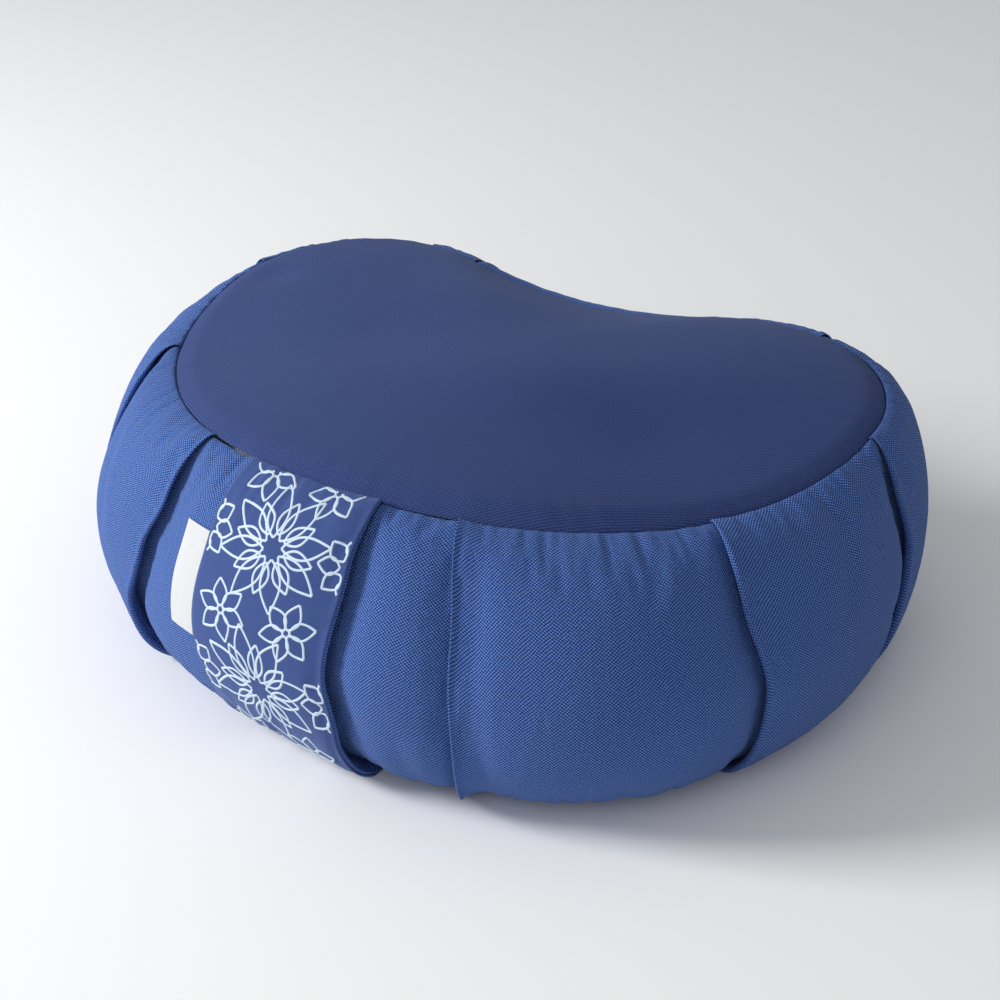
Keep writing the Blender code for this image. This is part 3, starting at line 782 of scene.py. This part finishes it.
wall_points, wall_threads = wall_mesh_points()
wall = outward(mesh_from_grid("cover_front_wall_cloth", wall_points, wall_threads, mats=[cover_cloth]))
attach(wall, "cushion")
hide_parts("cover_front_wall")

top = outward(closed_panel("cover_top_cloth", panel_points(COVER), [shaded_top_cloth]))
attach(top, "cushion")
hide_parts("cover_top_panel")


def way_down(height, z, length):
    """How far down the wall each column reaches this height."""
    return np.array([np.interp(-height, -z[i], length[i]) for i in range(len(z))])


def back_strip(name, upper, node):
    """One strip of the hollow back, its edge turned in beside the zip."""
    s = np.linspace(BACK_START, 2 * HALF - BACK_START, 130)
    _, z, length = COVER.tables(s)
    total = length[:, -1]
    edge = ZIP_HEIGHT + (ZIP_SLOT if upper else -ZIP_SLOT)
    cut = way_down(edge, z, length) / total
    if upper:
        share = rows()[None, :] * cut[:, None]
    else:
        share = cut[:, None] + np.linspace(0, 1, 70)[None, :] * (1 - cut[:, None])
    metres = share * total[:, None]
    wrapped = (s + HALF) % (2 * HALF) - HALF
    h = creases(wrapped[:, None], share, metres)
    h = h - seam_groove(metres)
    from_edge = np.abs(metres - (cut * total)[:, None])
    turned_in = 0.0009 * np.exp(-((from_edge / 0.007) ** 4))
    stitched = 0.0006 * np.exp(-(((from_edge - TOPSTITCH) / 0.0009) ** 2))
    h = h + turned_in - stitched
    from_end = np.minimum(s - s[0], s[-1] - s)[:, None]
    h = h - 0.0015 * np.exp(-from_end / 0.0013) + 0.0006 * np.exp(-((from_end - 0.006) / 0.004) ** 2)
    pts = COVER.points(s, share, h)[0]
    lip = pts[:, -1:] if upper else pts[:, :1]
    _, _, dx, dy, _, _ = outline(s)
    inward = np.stack([-dx, -dy, 0 * dx], -1)[:, None]
    down = np.array([0, 0, -1.0 if upper else 1.0])
    lips = [lip + inward * a + down * b for a, b in ((0.0005, 0.0003), (0.0012, 0.0002), (0.0020, -0.0006))]
    pts = np.concatenate([pts, *lips], 1) if upper else np.concatenate([*lips[::-1], pts], 1)
    down_len = np.cumsum(np.linalg.norm(np.diff(pts, axis=1, prepend=pts[:, :1]), axis=2), 1)
    across = np.cumsum(np.linalg.norm(np.diff(pts, axis=0, prepend=pts[:1]), axis=2), 0)
    threads = np.stack([across, down_len, 0 * across], -1)
    made = outward(mesh_from_grid(name, pts, threads, mats=[cover_cloth]))
    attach(made, "cushion")
    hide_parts(node)
    return made


upper_strip = back_strip("cover_back_cloth_upper", True, "cover_back_wall_upper")
lower_strip = back_strip("cover_back_cloth_lower", False, "cover_back_wall_lower")


def bottom_points(skin, height):
    """Rings of a flat bottom panel, from the seam to the middle."""
    s = np.linspace(-HALF, HALF, 360 if skin is COVER else 300, endpoint=False)
    ring = np.linspace(0, 1, 26)
    foot = skin.tables(s)[0][:, -1]
    cx, cy, dx, dy, radius, bend = outline(s)
    reach = bend * radius + foot + 0.001
    ex, ey = cx + dx * reach, cy + dy * reach
    scale = (1 - ring)[None, :]
    x = PANEL_CENTRE[0] + (ex[:, None] - PANEL_CENTRE[0]) * scale
    y = PANEL_CENTRE[1] + (ey[:, None] - PANEL_CENTRE[1]) * scale
    return np.stack([x, y, np.full_like(x, height)], -1)


bottom = outward(closed_panel("cover_bottom_cloth", bottom_points(COVER, 0.0004), [cover_cloth]))
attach(bottom, "cushion")
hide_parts("cover_bottom_panel")


# The ribbon band and the label: cloth strips on the fold side of the pleat at BAND_PLEAT


def on_band(a, b, lift):
    """Points on the wall for a metres left of the pleat's fold edge and b metres down it."""
    a, b, lift = np.broadcast_arrays(np.asarray(a, float), np.asarray(b, float), np.asarray(lift, float))
    flat_a, flat_b, flat_h = a.ravel(), b.ravel(), lift.ravel()
    s = BAND_PLEAT[0][0][1] - flat_a
    for _ in range(3):
        total = COVER.tables(s)[2][:, -1]
        share = np.clip(flat_b / total, 0, 1)[:, None]
        metric = metric_at(s[:, None], share)[:, 0]
        s = path_of(BAND_PLEAT, share[:, 0]) - flat_a / metric
    rise = lift_at(s[:, None], share, metric[:, None], flat_b[:, None], own=BAND_PLEAT)[:, 0]
    pts, _, _ = COVER.points(s[:, None], share, (rise + flat_h)[:, None])
    return pts.reshape(*a.shape, 3)


def ribbon_strip(name, a0, a1, b0, b1, lift, thickness, mats, na, nb, node):
    """A cloth strip from a0 to a1 across the band and b0 to b1 down it, in na by nb points."""
    a = np.linspace(a0, a1, na)
    b = np.linspace(b0, b1, nb)
    aa, bb = np.meshgrid(a, b, indexing="ij")
    outer = on_band(aa, bb, lift + thickness)
    # a closed loop round the strip's section, so that its edges show their thickness
    left, right = on_band(aa[:1], bb[:1], lift * 0.2), on_band(aa[-1:], bb[-1:], lift * 0.2)
    grid = np.concatenate([left, outer, right], 0)
    ta = np.concatenate([aa[:1], aa, aa[-1:]], 0)
    tb = np.concatenate([bb[:1], bb, bb[-1:]], 0)
    made = outward(mesh_from_grid(name, grid, np.stack([ta, tb, 0 * ta], -1), mats=mats))
    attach(made, "cushion")
    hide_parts(node)
    return made


FOOT = float(COVER.tables(np.array([BAND_PLEAT[0][0][1]]))[2][0, -1])
LABEL_EDGE = BAND_WIDTH - 0.004  # the label starts 4 mm under the ribbon
ribbon_strip(
    "ribbon_band_cloth", -0.0003, BAND_WIDTH, 0.0012, FOOT - 0.006, 0.0004, 0.0006,
    [band_cloth], 48, 130, "decorative_band",
)
ribbon_strip(
    "side_label_cloth", LABEL_EDGE, LABEL_EDGE + LABEL_WIDTH, LABEL_FROM, LABEL_TO, 0.0002, 0.0004,
    [label_cloth], 20, 40, "side_label",
)


def strokes_on_band(name, lines, width, lift, mats):
    """Raised threads along 2-D lines drawn on the band, each a low half-round ridge."""
    all_points, all_faces, base = [], [], 0
    for line in lines:
        line = np.asarray(line, float)
        if len(line) < 2:
            continue
        tangent = np.gradient(line, axis=0)
        tangent /= np.maximum(np.linalg.norm(tangent, axis=1, keepdims=True), 1e-9)
        side = np.stack([-tangent[:, 1], tangent[:, 0]], 1)
        offsets = ((-0.5, 0.0), (-0.32, 0.75), (0.0, 1.0), (0.32, 0.75), (0.5, 0.0))
        for off, up in offsets:
            at = line + side * off * width
            all_points.append(np.concatenate([at, np.full((len(at), 1), lift + up * 0.00035)], 1))
        n, k = len(line), len(offsets)
        for j in range(k - 1):
            for i in range(n - 1):
                p = base + j * n + i
                all_faces.append((p, p + 1, p + n + 1, p + n))
        base += n * k
    flat = np.concatenate(all_points)
    world = on_band(flat[:, 0], flat[:, 1], flat[:, 2])
    made = mesh_from(name, world, np.array(all_faces), None, mats)
    even_faces(made)
    made.data.shade_smooth()
    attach(made, "cushion")
    return made


def petal(centre, angle, inner, outer, width, points=15):
    """The outline of one pointed petal."""
    t = np.linspace(0, 1, points)
    along = inner + (outer - inner) * t
    across = width * np.sin(pi * t) ** 0.9 * (0.75 + 0.5 * (1 - t))
    c, n = cos(angle), sin(angle)
    sides = []
    for sign in (-1, 1):
        x = along * c - sign * across * n
        y = along * n + sign * across * c
        sides.append(np.stack([centre[0] + x, centre[1] + y], 1))
    return sides


def inside_band(line, low, high):
    """The stretches of a line that lie on the band."""
    across, down = line[:, 0], line[:, 1]
    keep = (across > BAND_HEM) & (across < BAND_WIDTH - BAND_HEM) & (down > low) & (down < high)
    runs, run = [], []
    for point, ok in zip(line, keep):
        if ok:
            run.append(point)
        elif run:
            runs.append(np.array(run))
            run = []
    if run:
        runs.append(np.array(run))
    return [r for r in runs if len(r) > 2]


def rosette(centre, radius, turn):
    """A many-petalled generic flower: long petals with shorter ones between and a ring inside."""
    lines = []
    for k in range(8):
        angle = turn + k * pi / 4
        lines += petal(centre, angle, 0.16 * radius, radius, 0.17 * radius)
        lines += petal(centre, angle + pi / 8, 0.22 * radius, 0.74 * radius, 0.13 * radius)
    return lines


def small_flower(centre, radius, turn):
    """Six pointed petals."""
    lines = []
    for k in range(6):
        angle = turn + k * pi / 3
        lines += petal(centre, angle, 0.10 * radius, radius, 0.27 * radius)
    return lines


def half_rosette(centre, radius):
    """A ring of petals for the ribbon's edge, which cuts it in half."""
    lines = []
    for k in range(8):
        lines += petal(centre, k * pi / 4, 0.30 * radius, radius, 0.26 * radius)
    return lines


# Rosettes down the middle, a pair of small flowers between each two, and half rosettes at the edges
PITCH, FIRST = 0.066, 0.036
ROSETTE, FLOWER, HALF_ROSETTE = 0.0295, 0.0145, 0.0150
LOW = FOOT - 0.008
drawn = []
for k in range(-1, 4):
    at = FIRST + k * PITCH
    drawn += rosette((BAND_WIDTH / 2, at), ROSETTE, 0.25)
    for a, turn in ((0.0200, 0.3), (0.0570, 0.8)):
        drawn += small_flower((a, at - PITCH / 2 + 0.0015), FLOWER, turn)
    for a in (-0.001, BAND_WIDTH + 0.001):
        drawn += half_rosette((a, at), HALF_ROSETTE)
lines = [run for line in drawn for run in inside_band(line, 0.002, LOW)]
embroidery = strokes_on_band("band_embroidery", lines, 0.00130, 0.0009, [white_thread])


# The liner and its filling, which the cover hides


def simple_wall(name, skin, s, share0, share1, mats, node):
    """A smooth wall between two shares of the way down, each one value or one for each column."""
    share = np.linspace(share0 + 0 * s, share1 + 0 * s, 36).T
    points, metric, want = skin.points(s, share, 0.0)
    threads = np.stack([np.repeat(s[:, None], share.shape[1], 1) * metric, want, 0 * want], -1)
    made = outward(mesh_from_grid(name, points, threads, mats=mats))
    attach(made, "cushion")
    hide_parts(node)
    return made


LINER = Skin(inset=0.011, seam_inset=0.004, drop=0.0085, base=0.003)
FILL = Skin(inset=0.016, seam_inset=0.006, drop=0.012, base=0.0045)
around = np.linspace(-BACK_START, BACK_START, 260)
behind = np.linspace(BACK_START, 2 * HALF - BACK_START, 60)
simple_wall("liner_front_cloth", LINER, around, 0, 1, [calico], "liner_front_wall")
_, z, length = LINER.tables(behind)
top_cut, low_cut = (way_down(ZIP_HEIGHT + side * ZIP_SLOT, z, length) / length[:, -1] for side in (1, -1))
for name, high, low, node in (
    ("liner_back_cloth_upper", 0, top_cut, "liner_back_wall_upper"),
    ("liner_back_cloth_lower", low_cut, 1, "liner_back_wall_lower"),
):
    simple_wall(name, LINER, behind, high, low, [calico], node)
for name, skin_points, node in (
    ("liner_top_cloth", panel_points(LINER), "liner_top_panel"),
    ("liner_bottom_cloth", bottom_points(LINER, 0.0022), "liner_bottom_panel"),
):
    made = outward(closed_panel(name, skin_points, [calico]))
    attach(made, "cushion")
    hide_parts(node)

whole = np.linspace(-HALF, HALF, 300, endpoint=False)
share = np.repeat(np.linspace(0, 1, 60)[None, :], len(whole), 0)
grain = 0.0012 * np.sin(whole[:, None] * 1500 + 40 * share) * np.sin(share * 260 + whole[:, None] * 300)
side_points = FILL.points(whole, share, grain)[0]
crown = panel_points(FILL)
under = bottom_points(FILL, FILL.base)
hull_grid = np.concatenate([crown[:, ::-1], side_points[:, 1:], under[:, 1:]], 1)
hull_look = hulls("buckwheat_hull_heap")
hull_heap = outward(mesh_from_grid("hull_heap", hull_grid, hull_grid, closed=True, mats=[hull_look]))
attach(hull_heap, "cushion")
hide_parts("hull_filling")


# Topstitching beside the cover's zip


def stitches(name, points, normals, length, gap, radius, mats):
    """Short raised threads along a line of points."""
    step = np.linalg.norm(np.diff(points, axis=0), axis=1)
    along = np.concatenate([[0], np.cumsum(step)])
    starts = np.arange(gap, along[-1] - length, length + gap)
    verts, faces = [], []
    for start in starts:
        t = np.linspace(0, 1, 7)
        at = start + t * length
        centre = np.stack([np.interp(at, along, points[:, k]) for k in range(3)], 1)
        normal = np.stack([np.interp(at, along, normals[:, k]) for k in range(3)], 1)
        normal /= np.linalg.norm(normal, axis=1, keepdims=True)
        forward = np.gradient(centre, axis=0)
        forward /= np.linalg.norm(forward, axis=1, keepdims=True)
        side = np.cross(forward, normal)
        arch = radius * 0.9 * np.sin(pi * t) ** 0.5 - radius * 0.5
        first = len(verts)
        for i in range(7):
            for k in range(6):
                turn = k * pi / 3
                rise = arch[i] + radius * sin(turn)
                verts.append(centre[i] + normal[i] * rise + side[i] * radius * cos(turn))
        for i in range(6):
            for k in range(6):
                a, b = first + i * 6 + k, first + i * 6 + (k + 1) % 6
                faces.append((a, b, b + 6, a + 6))
    made = mesh_from(name, np.array(verts), np.array(faces), None, mats)
    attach(made, "cushion")
    return made


def strip_line(upper, inset):
    """Points and normals on a back strip, this far from its edge beside the zip."""
    s = np.linspace(BACK_START + 0.004, 2 * HALF - BACK_START - 0.004, 160)
    _, z, length = COVER.tables(s)
    edge = ZIP_HEIGHT + (ZIP_SLOT if upper else -ZIP_SLOT)
    cut = way_down(edge, z, length)
    metres = cut - inset if upper else cut + inset
    share = (metres / length[:, -1])[:, None]
    low = COVER.points(s, share, np.full_like(share, 0.0003))[0][:, 0]
    high = COVER.points(s, share, np.full_like(share, 0.0013))[0][:, 0]
    return low, (high - low) / 0.001


for word, upper in (("upper", True), ("lower", False)):
    line, normals = strip_line(upper, TOPSTITCH)
    made = stitches(f"zip_topstitch_{word}", line, normals, 0.0026, 0.0006, 0.00022, [blue_thread])


# Nylon coils in place of the CAD's plain rods


WIRE = 0.00030
COIL_HALF_WIDTH, COIL_HALF_DEPTH = 0.0010 - WIRE, 0.0012 - WIRE  # to the middle of the wire
COIL_AT = 0.0019  # from the zip's middle to the coil's
COIL_PITCH, COIL_STEPS, COIL_MARGIN = 0.0013, 12, radians(1.8)
LINER_BULGE = 0.031


def coil(name, side, reach, look, node):
    """A flattened helix along the hollow back, above (1) or below (-1) the zip's middle."""
    half = BACK_HALF - COIL_MARGIN
    turns = int(2 * half * reach / COIL_PITCH)
    t = np.linspace(0, turns * 2 * pi, turns * COIL_STEPS + 1)
    angle = -half + 2 * half * t / t[-1]
    depth = reach + COIL_HALF_DEPTH * np.sin(t)
    height = ZIP_HEIGHT + side * COIL_AT + side * COIL_HALF_WIDTH * np.cos(t)
    centre = np.stack([depth * np.sin(angle), BACK_Y - depth * np.cos(angle), height], 1)
    forward = np.gradient(centre, axis=0)
    forward /= np.linalg.norm(forward, axis=1, keepdims=True)
    up = np.array([0.0, 0.0, 1.0])
    one = np.cross(forward, up)
    one /= np.linalg.norm(one, axis=1, keepdims=True)
    two = np.cross(forward, one)
    turn = (np.arange(6) * pi / 3)[None, :, None]
    tube = centre[:, None] + WIRE * (one[:, None] * np.cos(turn) + two[:, None] * np.sin(turn))
    made = mesh_from_grid(name, tube.transpose(1, 0, 2), closed=True, mats=[look])
    even_faces(made)
    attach(made, "cushion")
    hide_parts(node)
    return made


for prefix, wide, look, slot_name in (
    ("cover", CAD_BULGE - 0.0016, coil_nylon, "blue_zip_coil"),
    ("liner", LINER_BULGE - 0.0011, pale_coil, "pale_zip_coil"),
):
    for word, side in (("upper", 1), ("lower", -1)):
        node = f"{prefix}_zip_coil_{word}"
        coil(f"{prefix}_coil_{word}", side, BACK_RADIUS - wide, look, node)

# The remaining CAD nodes keep their shapes and get procedural looks


def soften(name, look, width):
    """Gives a CAD node's box-like metal piece small round edges and its look."""
    node = NODES[name]
    weld = node.modifiers.new("weld", "WELD")
    weld.merge_threshold = 0.00001
    bevel = node.modifiers.new("bevel", "BEVEL")
    bevel.width, bevel.segments, bevel.limit_method, bevel.angle_limit = width, 2, "ANGLE", radians(35)
    node.data.materials.clear()
    node.data.materials.append(look)


for prefix, tape in (("cover", tape_cloth), ("liner", pale_tape)):
    for part in ("tape_upper", "tape_lower"):
        NODES[f"{prefix}_zip_{part}"].data.materials.clear()
        NODES[f"{prefix}_zip_{part}"].data.materials.append(tape)
    for part in ("slider", "pull", "top_stop_upper", "top_stop_lower", "bottom_stop"):
        fine = part in ("slider", "pull")
        soften(f"{prefix}_zip_{part}", nickel, 0.00015 if fine else 0.0003)

# The stage, the light and the camera


def look_at(origin, target, roll=0.0):
    """Placing of a light or camera at origin that looks at target."""
    back = (Vector(origin) - Vector(target)).normalized()
    right = Vector((0, 0, 1)).cross(back).normalized()
    up = back.cross(right)
    x = right * cos(roll) + up * sin(roll)
    y = -right * sin(roll) + up * cos(roll)
    lines = [(x[i], y[i], back[i], origin[i]) for i in range(3)]
    return Matrix((*lines, (0, 0, 0, 1)))


bpy.ops.mesh.primitive_plane_add(size=30, location=(0, 0, 0))
floor = bpy.context.object
floor.name = "stage_floor"
floor_look, _, floor_shader = node_material("stage_white")
floor_shader.inputs["Base Color"].default_value = (0.93, 0.93, 0.93, 1)
floor_shader.inputs["Roughness"].default_value = 0.95
floor_shader.inputs["Specular IOR Level"].default_value = 0.0
floor.data.materials.append(floor_look)

world = bpy.data.worlds.new("studio")
bpy.context.scene.world = world
world.use_nodes = True
world.node_tree.nodes["Background"].inputs[0].default_value = (0.96, 0.98, 1.0, 1)
world.node_tree.nodes["Background"].inputs[1].default_value = 0.42

AZIMUTH, ELEVATION, ROLL = radians(26.94), radians(29.48), radians(1.0)
TARGET = Vector((0, 0.0217, 0.06))
DISTANCE = 1.1467
BACK_VECTOR = Vector((sin(AZIMUTH) * cos(ELEVATION), -cos(AZIMUTH) * cos(ELEVATION), sin(ELEVATION)))


LIT_POINT = Vector((0, 0, 0.06))


def area_light(name, direction, distance, size, power):
    """A square light that faces the cushion."""
    data = bpy.data.lights.new(name, "AREA")
    data.size, data.energy = size, power
    made = bpy.data.objects.new(name, data)
    bpy.context.scene.collection.objects.link(made)
    origin = LIT_POINT + Vector(direction).normalized() * distance
    made.matrix_world = look_at(tuple(origin), tuple(LIT_POINT))


area_light("key", (-1.0, -0.58, 0.60), 1.9, 0.6, 35)
area_light("fill", (0.2, -1.4, 0.9), 2.4, 1.6, 7)

camera_data = bpy.data.cameras.new("camera")
camera_data.lens, camera_data.sensor_width = 77.9, 36
camera_data.shift_x, camera_data.shift_y = -0.005, -0.0043
camera_data.clip_start = 0.05
camera = bpy.data.objects.new("camera", camera_data)
bpy.context.scene.collection.objects.link(camera)
camera.matrix_world = look_at(tuple(TARGET + BACK_VECTOR * DISTANCE), tuple(TARGET), ROLL)
bpy.context.scene.camera = camera
bpy.context.scene.view_settings.view_transform = "Standard"
